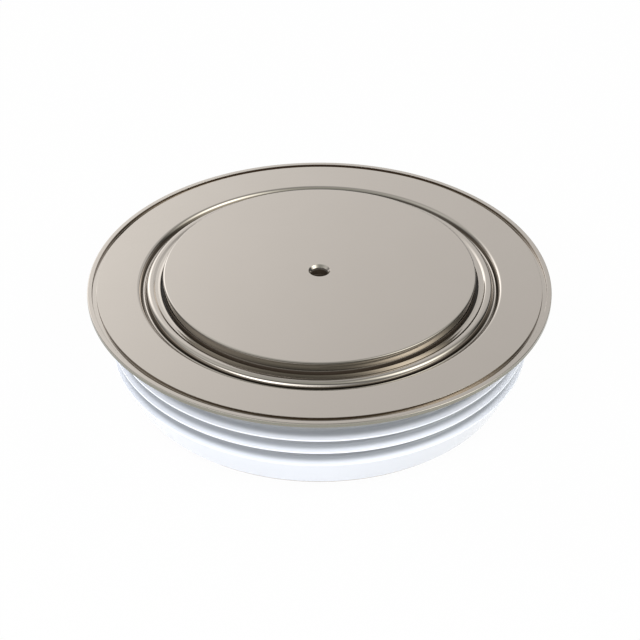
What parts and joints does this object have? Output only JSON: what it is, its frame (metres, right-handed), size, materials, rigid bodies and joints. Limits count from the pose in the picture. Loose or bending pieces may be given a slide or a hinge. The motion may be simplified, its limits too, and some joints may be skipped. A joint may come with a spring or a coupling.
{
  "type": "rectifier diode",
  "caption": "Press-pack rectifier diode: flat nickel-plated contact discs on both faces of a ribbed white ceramic ring, with a wide thin rim round the upper face.",
  "frame": {"origin": "centre of the lower contact face, at the bottom of the part", "axes": "+Z along the axis of the discs, from the lower contact face to the upper one; the part is round about Z"},
  "size_m": [0.098, 0.098, 0.026],
  "materials": {
    "nickel_plate": "copper with smooth satin nickel plate",
    "white_ceramic": "white glazed alumina",
    "silver_braze": "silver-copper braze",
    "silver": "soft silver foil",
    "molybdenum": "lapped molybdenum",
    "aluminium_alloy": "alloyed aluminium layer",
    "silicon": "polished dark grey silicon",
    "silicone_rubber": "soft white silicone rubber",
    "white_polymer": "moulded white fluoropolymer"
  },
  "bodies": {
    "root": {"upper_pole_piece": "nickel_plate", "lower_pole_piece": "nickel_plate", "diaphragm": "nickel_plate", "weld_flange": "nickel_plate", "lower_flange": "nickel_plate", "upper_pole_braze": "silver_braze", "upper_ceramic_braze": "silver_braze", "lower_ceramic_braze": "silver_braze", "lower_pole_braze": "silver_braze", "ceramic_ring": "white_ceramic", "lower_silver_foil": "silver", "upper_silver_foil": "silver", "carrier_disc": "molybdenum", "contact_disc": "molybdenum", "alloy_layer": "aluminium_alloy", "silicon_wafer": "silicon", "passivation_ring": "silicone_rubber", "locating_ring": "white_polymer"}
  },
  "joints": []
}
